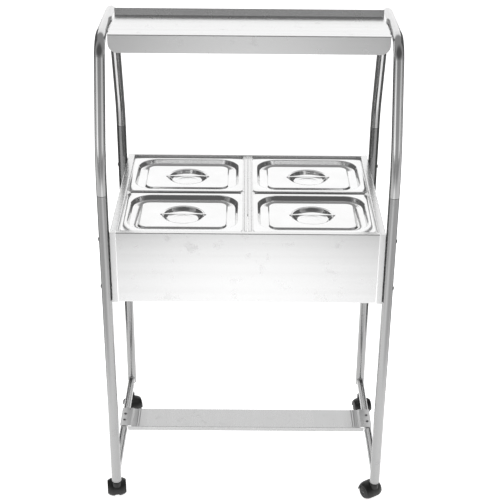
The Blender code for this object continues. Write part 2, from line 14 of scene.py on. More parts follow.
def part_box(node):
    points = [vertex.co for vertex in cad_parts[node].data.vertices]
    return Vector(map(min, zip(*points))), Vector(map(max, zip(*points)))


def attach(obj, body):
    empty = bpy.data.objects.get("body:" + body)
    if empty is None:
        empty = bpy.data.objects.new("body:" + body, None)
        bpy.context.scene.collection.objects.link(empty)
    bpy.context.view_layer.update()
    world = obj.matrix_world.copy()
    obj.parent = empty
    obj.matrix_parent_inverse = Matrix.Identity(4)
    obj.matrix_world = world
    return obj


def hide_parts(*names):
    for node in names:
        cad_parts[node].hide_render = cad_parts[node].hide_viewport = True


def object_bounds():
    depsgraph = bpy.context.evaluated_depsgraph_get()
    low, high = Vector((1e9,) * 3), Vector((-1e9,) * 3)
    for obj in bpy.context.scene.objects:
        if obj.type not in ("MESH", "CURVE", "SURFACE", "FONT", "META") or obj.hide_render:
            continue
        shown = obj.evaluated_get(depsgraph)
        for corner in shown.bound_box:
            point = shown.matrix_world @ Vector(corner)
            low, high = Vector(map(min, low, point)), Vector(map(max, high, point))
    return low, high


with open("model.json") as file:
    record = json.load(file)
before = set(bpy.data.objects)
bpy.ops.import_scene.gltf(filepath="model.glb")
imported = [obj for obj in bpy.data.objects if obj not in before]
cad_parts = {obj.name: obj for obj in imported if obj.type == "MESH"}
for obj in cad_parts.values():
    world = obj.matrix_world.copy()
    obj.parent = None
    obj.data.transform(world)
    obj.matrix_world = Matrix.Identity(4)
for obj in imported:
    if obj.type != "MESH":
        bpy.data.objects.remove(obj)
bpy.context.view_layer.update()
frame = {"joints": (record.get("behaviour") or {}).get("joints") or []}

SIDES = {"left": -1, "right": 1}
ROWS = ("front", "rear")
GAP = 0.0003  # between pieces that touch
SHEET = 0.0012
EASE = 0.0005  # rounding of cut edges
FOLD = 0.0022  # outer radius of a fold in the sheet
SHARP_ANGLE = 38


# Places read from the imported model.


def middle(node):
    low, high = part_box(node)
    return (low + high) / 2


LEG_LOW, LEG_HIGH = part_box("front_leg_right")
POST_LOW, POST_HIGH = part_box("rear_post_right")
TUBE_RADIUS = (LEG_HIGH.x - LEG_LOW.x) / 2 / math.cos(math.pi / 12)
TUBE_OFFSET = (LEG_LOW.x + LEG_HIGH.x) / 2
FRONT_LEG_Y = (LEG_LOW.y + LEG_HIGH.y) / 2
REAR_POST_Y = (POST_LOW.y + POST_HIGH.y) / 2
JOINT_HEIGHT = LEG_HIGH.z + GAP

HOOP_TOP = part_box("hoop_right")[1].z - (LEG_HIGH.x - LEG_LOW.x) / 2
FRONT_KNEE = JOINT_HEIGHT + 0.085
REAR_KNEE = JOINT_HEIGHT + 0.049
HOOP_LEAN = 0.104
HOOP_BENDS = (0.455, 0.070, 0.070, 0.280)
SPIGOT_LENGTH, SPIGOT_ROOT = 0.050, 0.003

RAIL_LOW, RAIL_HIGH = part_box("base_rail_right")
RAIL_RADIUS = (RAIL_HIGH.z - RAIL_LOW.z) / 2 / math.cos(math.pi / 12)
RAIL_HEIGHT = (RAIL_LOW.z + RAIL_HIGH.z) / 2
COPE_DEPTH = 0.03

WELL_LOW, WELL_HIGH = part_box("side_panel_right")
FRONT, REAR = WELL_LOW.y, WELL_HIGH.y
WELL_HALF_WIDTH, WELL_TOP = WELL_HIGH.x, WELL_HIGH.z
PANEL_LOW, PANEL_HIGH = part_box("front_panel")
WELL_BOTTOM = PANEL_LOW.z
LEDGE_DROP = 0.008

SHELF_LOW, SHELF_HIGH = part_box("top_shelf")
UPSTAND, SIDE_FLANGE = 0.019, 0.019
SHELF_TOP = SHELF_HIGH.z - UPSTAND
PLATE_LOW, PLATE_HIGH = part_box("cross_plate")
BOLT_HEIGHTS = [middle(f"well_bolt_front_right_{level}").z for level in ("upper", "lower")]


# Node trees.


class Reading:
    """A socket that varies over a surface. Sums and products of readings add their Math nodes."""

    def __init__(self, tree, socket):
        self.tree = tree
        self.socket = socket

    def maths(self, operation, first, second):
        return self.tree.maths(operation, first, second)

    def __add__(self, other):
        return self.maths("ADD", self, other)

    def __sub__(self, other):
        return self.maths("SUBTRACT", self, other)

    def __rsub__(self, other):
        return self.maths("SUBTRACT", other, self)

    def __mul__(self, other):
        return self.maths("MULTIPLY", self, other)

    __radd__ = __add__
    __rmul__ = __mul__


class Tree:
    """The node tree of a material or of the world."""

    def __init__(self, owner):
        owner.use_nodes = True
        self.nodes = owner.node_tree.nodes
        self.links = owner.node_tree.links

    def node(self, kind, settings=None, sockets=None, output=0):
        made = self.nodes.new("ShaderNode" + kind)
        for key, value in (settings or {}).items():
            setattr(made, key, value)
        for key, value in (sockets or {}).items():
            self.feed(made.inputs[key], value)
        return Reading(self, made.outputs[output])

    def feed(self, socket, value):
        if isinstance(value, Reading):
            self.links.new(value.socket, socket)
        else:
            socket.default_value = value

    def maths(self, operation, *values):
        return self.node("Math", {"operation": operation}, dict(enumerate(values)))

    def parts(self, vector):
        """The three coordinates of a place or a direction."""
        return [self.node("SeparateXYZ", None, {0: vector}, output=k) for k in range(3)]

    def here(self, stretch=(1, 1, 1)):
        spot = self.node("TexCoord", output="Object")
        return self.node("VectorMath", {"operation": "MULTIPLY"}, {0: spot, 1: stretch})

    def noise(self, spot, scale, detail=3.0, roughness=0.5):
        sockets = {"Vector": spot, "Scale": scale, "Detail": detail, "Roughness": roughness}
        return self.node("TexNoise", None, sockets)

    def ease(self, value, start, end, low=0.0, high=1.0):
        """Goes smoothly from low to high as value goes from start to end."""
        sockets = dict(enumerate((value, start, end, low, high)))
        return self.node("MapRange", {"interpolation_type": "SMOOTHSTEP"}, sockets)

    def blend(self, factor, first, second):
        return self.node("Mix", {"data_type": "RGBA"}, {0: factor, 6: first, 7: second}, output=2)


def grey(level, warmth=0.0):
    """A neutral colour. Warmth above 0 leans it towards yellow and below 0 towards blue."""
    return (level * (1 + warmth), level, level * (1 - warmth), 1.0)


def painted(tree, colour, roughness, height, bump, reach, **fixed):
    """Joins a tree's colour, roughness and bump height to its Principled shader."""
    shader = tree.nodes["Principled BSDF"]
    tree.feed(shader.inputs["Base Color"], colour)
    tree.feed(shader.inputs["Roughness"], roughness)
    normal = tree.node("Bump", None, {"Strength": bump, "Distance": reach, "Height": height})
    tree.feed(shader.inputs["Normal"], normal)
    for socket, value in fixed.items():
        shader.inputs[socket.replace("_", " ")].default_value = value


# Finishes.


def steel(name, tone, gloss, grain, grain_depth=0.35, marks=0.10, waviness=0.0):
    """Bare stainless steel. The grain stretches its fine lines; marks dull it where hands have been."""
    material = bpy.data.materials.new(name)
    tree = Tree(material)
    spot = tree.here()
    lines = tree.noise(tree.here(grain), 1.0, 4.0, 0.6)
    bands = tree.noise(tree.here([value / 14 for value in grain]), 1.0, 2.0)
    patches = tree.noise(spot, 7.0, 3.0)
    dull = tree.ease(tree.noise(spot, 26.0, 5.0, 0.62), 0.57, 0.74)
    scratch_field = tree.noise(tree.here((260, 9, 31)), 1.0, 2.0)
    scratches = tree.ease(scratch_field, 0.735, 0.775)
    shade = 0.55 * bands + 0.25 * lines + 0.20 * patches
    colour = tree.blend(shade, grey(tone * 0.90, 0.004), grey(tone * 1.09, -0.004))
    colour = tree.blend(marks * dull, colour, grey(tone * 0.78, 0.012))
    roughness = gloss + 0.09 * (lines - 0.5) + 0.07 * (patches - 0.5)
    roughness = roughness + marks * dull + 0.10 * scratches
    height = grain_depth * lines + waviness * tree.noise(spot, 5.0, 1.0) + 0.5 * scratches
    painted(tree, colour, roughness, height, 0.30, 0.00012, Metallic=1.0)
    return material


def moulded(name, tone, gloss, scuffed=0.3):
    """Moulded plastic with a fine orange peel, paler scuffs and some dust."""
    material = bpy.data.materials.new(name)
    tree = Tree(material)
    spot = tree.here()
    peel = tree.noise(spot, 1400.0, 2.0)
    flow = tree.noise(spot, 60.0, 4.0)
    scuff = tree.ease(tree.noise(tree.here((420, 420, 90)), 1.0, 5.0, 0.7), 0.58, 0.80)
    dust = tree.ease(tree.noise(spot, 150.0, 6.0, 0.65), 0.50, 0.85)
    colour = tree.blend(flow, grey(tone * 0.80), grey(tone * 1.25))
    colour = tree.blend(scuffed * scuff, colour, grey(min(1.0, tone * 3 + 0.05), 0.01))
    colour = tree.blend(0.25 * scuffed * dust, colour, grey(0.30, 0.04))
    roughness = gloss + 0.10 * (flow - 0.5) + 0.22 * scuff + 0.15 * dust
    height = peel + 0.6 * scuff
    painted(tree, colour, roughness, height, 0.35, 0.00010, Metallic=0.0, Specular_IOR_Level=0.5)
    return material


def floor_finish():
    """A pale floor with painted light: it glows most behind the trolley, and fades to the front and sides.
    """
    material = bpy.data.materials.new("pale_floor_painted_glow")
    tree = Tree(material)
    across, along = tree.parts(tree.here())[:2]
    mottle = tree.noise(tree.here(), 3.0, 4.0)
    width = tree.ease(along, -1.2, -0.4, 0.05, 0.82) + 0.20 * tree.maths("MAXIMUM", along, 0.0)
    beside = tree.ease(tree.maths("ABSOLUTE", across) - width, 0.0, 0.95)
    ahead = tree.ease(along, -2.2, -5.2)
    # Painted light: the floor's emission is brightest behind the trolley and weaker ahead and to the sides,
    # which keeps the shadows on it faint.
    painted_light_pool = 0.92 - 0.56 * beside - 0.40 * ahead + 0.01 * mottle
    colour = tree.blend(mottle, grey(0.78), grey(0.80))
    fixed = {"Specular_IOR_Level": 0.1, "Emission_Strength": 1.0}
    painted(tree, colour, 0.80 + 0.1 * mottle, mottle, 0.02, 0.001, **fixed)
    shader = tree.nodes["Principled BSDF"]
    # Painted light: the glow drives the floor's emission.
    tree.feed(shader.inputs["Emission Color"], tree.blend(painted_light_pool, grey(0.0), grey(1.0)))
    return material


ACROSS = (5, 760, 760)  # grain lines along X
ALONG = (760, 5, 760)  # along Y
UPRIGHT = (760, 760, 5)  # along Z
FINISH = {
    # Painted shade: the legs and the rear posts are the same steel tube as the hoop but made darker, and
    # the posts darker than the legs, for the dimmer light low down and at the rear.
    "tube": steel("drawn_tube_painted_shade", 0.39, 0.20, UPRIGHT, marks=0.10),
    "post": steel("drawn_post_painted_shade", 0.34, 0.22, UPRIGHT, marks=0.10),
    "hoop": steel("polished_tube", 0.60, 0.13, (300, 300, 300), grain_depth=0.15, marks=0.05),
    "rail": steel("satin_rail", 0.42, 0.27, ALONG),
    "panel": steel("brushed_panel", 0.74, 0.24, ACROSS, waviness=0.6),
    "side": steel("brushed_side", 0.74, 0.26, ALONG, waviness=0.6),
    "shelf": steel("brushed_shelf", 0.76, 0.25, ACROSS, waviness=0.4),
    "plate": steel("brushed_plate", 0.52, 0.28, (340, 6, 340), grain_depth=0.6, marks=0.12),
    "lid": steel("bright_lid", 0.80, 0.12, (240, 240, 240), grain_depth=0.10, marks=0.05),
    "pan": steel("bright_pan", 0.74, 0.18, UPRIGHT, grain_depth=0.2),
    "fastener": steel("plated_fastener", 0.58, 0.28, (900, 900, 900), marks=0.15),
    # Painted shade: this dark finish on the washers between the tubes and the well and on the plate's
    # screws stands in for the shade in the gap and in the recesses.
    "dark_fastener": steel("fastener_painted_shade", 0.26, 0.36, (900, 900, 900), marks=0.15),
    "weld": steel("brushed_weld", 0.50, 0.38, (500, 500, 500), grain_depth=0.9, marks=0.2),
    "plug": moulded("grey_plug", 0.56, 0.42, scuffed=0.12),
    "hood": moulded("black_hood", 0.010, 0.42, scuffed=0.2),
    "wheel": moulded("black_wheel", 0.012, 0.46, scuffed=0.35),
    "card": moulded("dark_card", 0.10, 0.80, scuffed=0.0),
}


# Shapes.


def skin(loops, ring=False):
    """Skins a row of loops that have equal numbers of points. A ring joins the last loop to the first."""
    bm = bmesh.new()
    rows = [[bm.verts.new(point) for point in loop] for loop in loops]
    pairs = list(zip(rows, rows[1:]))
    if ring:
        pairs.append((rows[-1], rows[0]))
    for below, above in pairs:
        for k in range(len(below)):
            after = (k + 1) % len(below)
            bm.faces.new((below[k], below[after], above[after], above[k]))
    if not ring:
        bm.faces.new(rows[0])
        bm.faces.new(rows[-1])
    return bm


def turned(profile, sides=48, axis="Z", ring=False, centre=(0, 0, 0)):
    """A turned piece. The profile holds (radius, place along the axis) from one end to the other."""
    loops = []
    for radius, along in profile:
        loop = []
        for k in range(sides):
            angle = 2 * math.pi * (k + 0.5) / sides
            a, b = radius * math.cos(angle), radius * math.sin(angle)
            point = Vector({"Z": (a, b, along), "X": (along, a, b), "Y": (b, along, a)}[axis])
            loop.append(point + Vector(centre))
        loops.append(loop)
    return skin(loops, ring)


def rounded(corners, bends, steps):
    """Points along straight runs whose inner corners are rounded."""
    path = [corners[0]]
    for k in range(1, len(corners) - 1):
        corner, radius = corners[k], bends[k - 1]
        back = (corners[k - 1] - corner).normalized()
        ahead = (corners[k + 1] - corner).normalized()
        half = back.angle(ahead) / 2
        centre = corner + (back + ahead).normalized() * radius / math.sin(half)
        start = corner + back * radius / math.tan(half) - centre
        end = corner + ahead * radius / math.tan(half) - centre
        turn = start.angle(end)
        for s in range(steps + 1):
            weights = (math.sin((1 - s / steps) * turn), math.sin(s / steps * turn))
            path.append(centre + (start * weights[0] + end * weights[1]) / math.sin(turn))
    path.append(corners[-1])
    return path


def tube_along(outside, inside, sides=40):
    """A hollow tube in a plane of constant x. Its walls are rows of (point on the axis, radius)."""
    loops = []
    for stations in (outside, inside[::-1]):
        points = [point for point, _ in stations]
        for k, (point, radius) in enumerate(stations):
            direction = points[min(k + 1, len(points) - 1)] - points[max(k - 1, 0)]
            across = Vector((1, 0, 0))
            up = direction.normalized().cross(across)
            if stations is not outside:
                up = -up
            angles = [2 * math.pi * (s + 0.5) / sides for s in range(sides)]
            spokes = [math.cos(a) * across + math.sin(a) * up for a in angles]
            loops.append([point + radius * spoke for spoke in spokes])
    return skin(loops, ring=True)


def straight_tube(start, end, radius):
    """A hollow tube whose outer edges are eased."""
    start, end = Vector(start), Vector(end)
    step = (end - start).normalized() * EASE
    eased_start = [(start, radius - EASE), (start + step, radius)]
    eased_end = [(end - step, radius), (end, radius - EASE)]
    outside = eased_start + eased_end
    inside = [(start, radius - SHEET), (end, radius - SHEET)]
    return tube_along(outside, inside)


def bent(points, fold=FOLD, thickness=SHEET, steps=5):
    """The outline of a folded sheet with rounded folds. The sheet lies to the left of its points."""
    corners = [Vector(point) for point in points]
    radii = []
    for k in range(1, len(corners) - 1):
        before, after = corners[k] - corners[k - 1], corners[k + 1] - corners[k]
        turns_left = before.x * after.y - before.y * after.x > 0
        radii.append(fold if turns_left else fold - thickness)
    line = rounded(corners, radii, steps)
    inner = []
    for k, point in enumerate(line):
        before = (point - line[k - 1]).normalized() if k > 0 else None
        after = (line[k + 1] - point).normalized() if k < len(line) - 1 else None
        sides = [Vector((-d.y, d.x)) for d in (before, after) if d is not None]
        normal = sum(sides, Vector((0, 0))).normalized()
        inner.append(point + normal * thickness / normal.dot(sides[0]))
    return [tuple(p) for p in line] + [tuple(p) for p in reversed(inner)]


def prism(outline, axis, low, high):
    """Extrudes an outline of two coordinates along X, Y or Z. The other two axes keep their order."""

    def at(pair, along):
        a, b = pair
        return {"X": (along, a, b), "Y": (a, along, b), "Z": (a, b, along)}[axis]

    return skin([[at(pair, low) for pair in outline], [at(pair, high) for pair in outline]])


def block(low, high):
    outline = [(low[0], low[1]), (high[0], low[1]), (high[0], high[1]), (low[0], high[1])]
    return prism(outline, "Z", low[2], high[2])


CORNER_STEPS = 10
STEEPEST = 0.35  # least level part of a wall's slope, so that a steep wall doesn't grow too thick


def round_corners(half_x, half_y, radius, z):
    """A rounded rectangle, the same number of points whatever its size."""
    loop = []
    for quarter, (sx, sy) in enumerate(((1, 1), (-1, 1), (-1, -1), (1, -1))):
        for s in range(CORNER_STEPS + 1):
            angle = math.radians(90 * quarter + 90 * s / CORNER_STEPS)
            x = sx * (half_x - radius) + radius * math.cos(angle)
            y = sy * (half_y - radius) + radius * math.sin(angle)
            loop.append(Vector((x, y, z)))
    return loop


def circle_loop(radius, z):
    """A circle with as many points as round_corners gives, spread as its corners are."""
    count = 4 * (CORNER_STEPS + 1)
    angles = [2 * math.pi * (k + 0.5) / count for k in range(count)]
    return [Vector((radius * math.cos(a), radius * math.sin(a), z)) for a in angles]


def shell(loops, thickness):
    """A pressed sheet: loops along its upper face, and the same loops moved down for its lower face."""
    steps = []
    for k in range(len(loops)):
        before, after = loops[max(k - 1, 0)][0], loops[min(k + 1, len(loops) - 1)][0]
        level = Vector((after.x - before.x, after.y - before.y)).length
        run = Vector((level, after.z - before.z)).normalized()
        steps.append(max(STEEPEST, abs(run.x)))
    under = []
    for loop, lean in zip(loops, steps):
        under.append([point - Vector((0, 0, thickness / lean)) for point in loop])
    return skin(loops[::-1] + under)


def piece(name, bm, look, body="frame", replaces=(), place=(0, 0, 0), turn=0.0):
    """Makes a shown piece that rides on a CAD body and stands for the CAD nodes that it replaces."""
    mesh = bpy.data.meshes.new(name)
    bmesh.ops.recalc_face_normals(bm, faces=bm.faces)
    bm.to_mesh(mesh)
    bm.free()
    mesh.transform(Matrix.Translation(place) @ Matrix.Rotation(turn, 4, "Z"))
    mesh.materials.append(FINISH[look])
    mesh.shade_smooth()
    mesh.set_sharp_from_angle(angle=math.radians(SHARP_ANGLE))
    made = bpy.data.objects.new(name, mesh)
    bpy.context.scene.collection.objects.link(made)
    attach(made, body)
    if replaces:
        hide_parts(*replaces)
    return made


def combined(first, second, operation):
    """The union or the difference of two closed meshes."""
    meshes = []
    for k, bm in enumerate((first, second)):
        mesh = bpy.data.meshes.new(f"shape_{k}")
        bmesh.ops.recalc_face_normals(bm, faces=bm.faces)
        bm.to_mesh(mesh)
        bm.free()
        made = bpy.data.objects.new(f"shape_{k}", mesh)
        bpy.context.scene.collection.objects.link(made)
        meshes.append(made)
    modifier = meshes[0].modifiers.new("join", "BOOLEAN")
    modifier.operation = operation
    modifier.object = meshes[1]
    modifier.solver = "EXACT"
    bpy.context.view_layer.update()
    result = bmesh.new()
    result.from_object(meshes[0], bpy.context.evaluated_depsgraph_get())
    for made in meshes:
        mesh = made.data
        bpy.data.objects.remove(made)
        bpy.data.meshes.remove(mesh)
    return result


def united(shapes):
    whole = shapes[0]
    for shape in shapes[1:]:
        whole = combined(whole, shape, "UNION")
    return whole


def without(shape, cutters):
    for cutter in cutters:
        shape = combined(shape, cutter, "DIFFERENCE")
    return shape


def eased(bm, width, angle=40, segments=2):
    """Rounds the sharp edges of a shape."""
    bmesh.ops.dissolve_limit(bm, angle_limit=math.radians(1), verts=bm.verts, edges=bm.edges)
    limit = math.radians(angle)
    sharp = [edge for edge in bm.edges if edge.is_manifold and edge.calc_face_angle(0) > limit]
    fixed = {"segments": segments, "affect": "EDGES", "clamp_overlap": True}
    bmesh.ops.bevel(bm, geom=sharp, offset=width, **fixed)
    return bm


# Tubular frame.


def add_legs():
    for side in SIDES:
        # The posts' finish is darker than the legs' as painted shade.
        for name, look in (("front_leg", "tube"), ("rear_post", "post")):
            node = f"{name}_{side}"
            low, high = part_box(node)
            spot = middle(node)
            bm = straight_tube((0, 0, low.z), (0, 0, high.z), TUBE_RADIUS)
            piece(f"{name}_tube_{side}", bm, look, replaces=[node], place=(spot.x, spot.y, 0))


def hoop_path():
    """The axis of a hoop, from its front joint over the top to its rear joint."""
    corners = [
        Vector((0, FRONT_LEG_Y, JOINT_HEIGHT)),
        Vector((0, FRONT_LEG_Y, FRONT_KNEE)),
        Vector((0, FRONT_LEG_Y + HOOP_LEAN, HOOP_TOP)),
        Vector((0, REAR_POST_Y - HOOP_LEAN, HOOP_TOP)),
        Vector((0, REAR_POST_Y, REAR_KNEE)),
        Vector((0, REAR_POST_Y, JOINT_HEIGHT)),
    ]
    return rounded(corners, HOOP_BENDS, 14)


def add_hoops():
    """Bent side hoops. Each end has an eased shoulder above the spigot that slides into the leg or post."""
    path = hoop_path()
    spigot = TUBE_RADIUS - SHEET - 2 * GAP
    ease = Vector((0, 0, EASE))
    drop = Vector((0, 0, -SPIGOT_LENGTH))
    root = Vector((0, 0, SPIGOT_ROOT))
    outside = [(point, TUBE_RADIUS) for point in path[1:-1]]
    inside = [(point, TUBE_RADIUS - SHEET) for point in path[1:-1]]
    for end, last in ((path[0], False), (path[-1], True)):
        shoulder = [(end + ease, TUBE_RADIUS), (end, TUBE_RADIUS - EASE)]
        neck = shoulder + [(end, spigot), (end + drop, spigot)]
        throat = [(end + root, spigot - SHEET), (end + drop, spigot - SHEET)]
        outside = outside + neck if last else neck[::-1] + outside
        inside = inside + throat if last else throat[::-1] + inside
    for side, sign in SIDES.items():
        bm = tube_along(outside, inside)
        place = (sign * TUBE_OFFSET, 0, 0)
        piece(f"bent_hoop_{side}", bm, "hoop", replaces=["hoop_" + side], place=place)


def add_base_rails():
    """Lower side tubes with coped ends and a weld bead at each end."""
    reach = TUBE_RADIUS + 2 * GAP
    for side, sign in SIDES.items():
        place = (sign * TUBE_OFFSET, 0, 0)
        ends = [(0, y, RAIL_HEIGHT) for y in (FRONT_LEG_Y, REAR_POST_Y)]
        rail = straight_tube(*ends, RAIL_RADIUS)
        for end in ends:
            cope = turned([(reach, -COPE_DEPTH), (reach, COPE_DEPTH)], 64, centre=end)
            rail = combined(rail, cope, "DIFFERENCE")
        piece(f"side_rail_{side}", rail, "rail", replaces=["base_rail_" + side], place=place)
        for end, y, inward in (("front", FRONT_LEG_Y, 1), ("rear", REAR_POST_Y, -1)):
            piece(f"weld_{end}_{side}", weld_bead(y, inward), "weld", place=place)


def weld_bead(y, inward):
    """A rippled fillet where a rail meets a leg: it follows the line where the two tubes cross."""
    count, ripples, thick, sides = 84, 21, 0.0019, 8
    away = Vector((0, inward, 0))
    loops = []
    for k in range(count):
        turn = 2 * math.pi * k / count
        x, z = RAIL_RADIUS * math.cos(turn), RAIL_RADIUS * math.sin(turn)
        reach = math.sqrt((TUBE_RADIUS + GAP) ** 2 - x * x)
        centre = Vector((x, y + inward * reach, RAIL_HEIGHT + z))
        outward = Vector((math.cos(turn), 0, math.sin(turn)))
        size = thick * (1 + 0.16 * math.sin(ripples * turn))
        loop = []
        for s in range(sides):
            angle = 2 * math.pi * s / sides
            loop.append(centre + size * (math.cos(angle) * outward + math.sin(angle) * away))
        loops.append(loop)
    return skin(loops, ring=True)


def add_leg_ends():
    """A flanged plug under each leg, which takes a caster's stem, and a domed cap in each post."""
    insert = TUBE_RADIUS - SHEET - 2 * GAP
    flange, bore = TUBE_RADIUS - 0.0001, 0.0054
    for side, sign in SIDES.items():
        node = "leg_plug_" + side
        low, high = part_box(node)
        foot, top = low.z, high.z
        seat = foot + 0.004 - GAP
        profile = [(bore, foot + EASE), (bore + EASE, foot)]
        profile += [(flange - 0.0016, foot), (flange - 0.0005, foot + 0.0006)]
        profile += [(flange, foot + 0.0018), (flange, seat), (insert, seat)]
        profile += [(insert, top - 0.001), (insert - 0.001, top), (bore, top)]
        place = (sign * TUBE_OFFSET, FRONT_LEG_Y, 0)
        piece(f"socket_{side}", turned(profile, ring=True), "plug", replaces=[node], place=place)
        node = "post_cap_" + side
        low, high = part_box(node)
        foot, top = low.z, high.z
        crown = [(0.002, foot), (0.008, foot + 0.0003), (0.0118, foot + 0.001)]
        crown += [(0.0135, foot + 0.0022), (insert, foot + 0.0027)]
        crown += [(insert, top - 0.001), (insert - 0.001, top)]
        place = (sign * TUBE_OFFSET, REAR_POST_Y, 0)
        piece(f"cap_{side}", turned(crown), "plug", replaces=[node], place=place)


# Well.

CORNER_WIDTH = 0.0150
SIDE_TOP_WIDTH = 0.0200
LEDGE_WIDTH = 0.010
FRONT_RETURN = PANEL_HIGH.y - PANEL_LOW.y
REAR_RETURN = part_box("rear_panel")[1].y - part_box("rear_panel")[0].y
HEM = 0.012
SEAM = 0.0007  # half of the fine gap between two sheets that meet
NOTCH = 0.036  # length of the cutouts at the rear end of the divider


def add_end_panels():
    half = PANEL_HIGH.x - SEAM
    ends = (("front", FRONT, 1, FRONT_RETURN), ("rear", REAR, -1, REAR_RETURN))
    for name, face, inward, back in ends:
        inner = face + inward * back
        points = [(face + inward * 0.010, WELL_BOTTOM), (face, WELL_BOTTOM), (face, WELL_TOP)]
        points += [(inner, WELL_TOP), (inner, WELL_TOP - HEM)]
        # The sheet lies to the left of its points, so the front one is bent mirrored and turned back.
        mirrored = [(inward * -y, z) for y, z in points]
        outline = [(inward * -y, z) for y, z in bent(mirrored)]
        sheet = prism(outline, "X", -half, half)
        piece(f"{name}_sheet", sheet, "panel", replaces=[f"{name}_panel"])


def add_side_panels():
    """Sheets with a flat top, a ledge for the pans and a folded corner at each end."""
    runs = (FRONT + FRONT_RETURN + GAP, REAR - REAR_RETURN - GAP)
    outer, foot = WELL_HALF_WIDTH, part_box("side_panel_right")[0].z
    ledge = WELL_TOP - LEDGE_DROP
    for side, sign in SIDES.items():
        section = [(outer, foot), (outer, WELL_TOP), (outer - SIDE_TOP_WIDTH, WELL_TOP)]
        section += [(outer - SIDE_TOP_WIDTH, ledge), (outer - SIDE_TOP_WIDTH - LEDGE_WIDTH, ledge)]
        section = [(sign * x, z) for x, z in bent(section)]
        shapes = [prism(section, "Y", *runs)]
        plan = [(outer - CORNER_WIDTH, FRONT), (outer, FRONT), (outer, REAR), (outer - CORNER_WIDTH, REAR)]
        plan = [(sign * x, y) for x, y in bent(plan)]
        shapes.append(prism(plan, "Z", foot, WELL_TOP - 0.0004))
        for low, high in ((FRONT + 0.0004, runs[0] + 0.001), (runs[1] - 0.001, REAR - 0.0004)):
            xs = sorted((sign * (outer - 0.0004), sign * (outer - CORNER_WIDTH)))
            shapes.append(block((xs[0], low, WELL_TOP - SHEET), (xs[1], high, WELL_TOP)))
        piece(f"side_sheet_{side}", united(shapes), "side", replaces=["side_panel_" + side])


def add_divider():
    """Two folded strips back to back, with a fine seam between them and a notch at the rear."""
    low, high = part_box("centre_divider")
    half = high.x - LEDGE_WIDTH
    for side, sign in SIDES.items():
        section = [(SEAM, WELL_TOP - 0.006), (SEAM, WELL_TOP), (half, WELL_TOP)]
        section += [(half, low.z + SHEET), (high.x, low.z + SHEET)]
        outline = [(-sign * x, z) for x, z in bent([(-x, z) for x, z in section], fold=0.0018)]
        xs = sorted((sign * 0.0022, sign * (high.x + 0.001)))
        nearest = (xs[0], high.y - NOTCH, low.z - 0.001)
        furthest = (xs[1], high.y + 0.001, WELL_TOP + 0.001)
        notch = block(nearest, furthest)
        strip = combined(prism(outline, "Y", low.y, high.y), notch, "DIFFERENCE")
        piece(f"divider_{side}", strip, "side", replaces=["centre_divider"])


# Fasteners.


def domed_bolt(sign, seat, tip, head=0.0054, dome=0.0021, shank=0.003):
    """A button-head bolt along X with a hexagon socket, its head outside the seat."""
    rim = 0.0004
    profile = [(shank - EASE, tip), (shank, tip + EASE), (shank, seat)]
    profile += [(head - 0.0003, seat), (head, seat + rim)]
    for a in (0.3, 0.6, 0.9, 1.1):
        profile.append((head * math.cos(a), seat + rim + (dome - rim) * math.sin(a)))
    profile.append((0.0012, seat + dome))
    bolt = turned([(radius, sign * along) for radius, along in profile], 36, "X")
    socket = [(0.0019, sign * (seat + dome - 0.0016)), (0.0019, sign * (seat + dome + 0.001))]
    return combined(bolt, turned(socket, 6, "X"), "DIFFERENCE")


def hexagon_nut(sign, near, far, radius=0.0052, hole=0.0031):
    """A nut along X with eased corners and an open bore."""
    ease = 0.0006
    outer = [(radius - ease, near), (radius, near + ease), (radius, far - ease), (radius - ease, far)]
    nut = turned([(r, sign * a) for r, a in outer], 6, "X")
    bore = [(hole, sign * (near - 0.001)), (hole, sign * (far + 0.001))]
    return combined(nut, turned(bore, 24, "X"), "DIFFERENCE")


def add_well_bolts():
    """Bolts that hold the well to the legs and posts, each with a nut inside and a washer between."""
    seat, tip = TUBE_OFFSET + TUBE_RADIUS + GAP, WELL_HALF_WIDTH - 0.008
    hole, rim = 0.0033, 0.0055
    wall, tube = WELL_HALF_WIDTH + GAP, TUBE_OFFSET - math.sqrt(TUBE_RADIUS ** 2 - rim ** 2) - GAP
    inside = WELL_HALF_WIDTH - SHEET
    for side, sign in SIDES.items():
        for end, y in (("front", FRONT_LEG_Y), ("rear", REAR_POST_Y)):
            for level, z in zip(("upper", "lower"), BOLT_HEIGHTS):
                name, place = f"{end}_{side}_{level}", (0, y, z)
                bolt = domed_bolt(sign, seat, tip)
                piece("bolt_" + name, bolt, "fastener", replaces=["well_bolt_" + name], place=place)
                nut = hexagon_nut(sign, inside - 0.0055, inside - GAP)
                piece("nut_" + name, nut, "fastener", place=place)
                ring = [(hole, sign * wall), (rim, sign * wall), (rim, sign * tube), (hole, sign * tube)]
                washer = turned(ring, 32, "X", ring=True)
                # The washer's dark finish is painted shade in the gap between the tube and the well.
                piece("washer_" + name, washer, "dark_fastener", place=place)


def add_shelf_bolts():
    """Bolts that go through the level run of each hoop into the shelf's side flange."""
    seat, tip = TUBE_OFFSET + TUBE_RADIUS + GAP - 0.0004, SHELF_HIGH.x - 0.007
    inside = SHELF_HIGH.x - SHEET
    for side, sign in SIDES.items():
        for end, y in (("front", SHELF_LOW.y + 0.058), ("rear", SHELF_HIGH.y - 0.030)):
            place = (0, y, HOOP_TOP - 0.003)
            bolt = domed_bolt(sign, seat, tip)
            piece(f"shelf_bolt_{end}_{side}", bolt, "fastener", place=place)
            nut = hexagon_nut(sign, inside - 0.0050, inside - GAP)
            piece(f"shelf_nut_{end}_{side}", nut, "fastener", place=place)


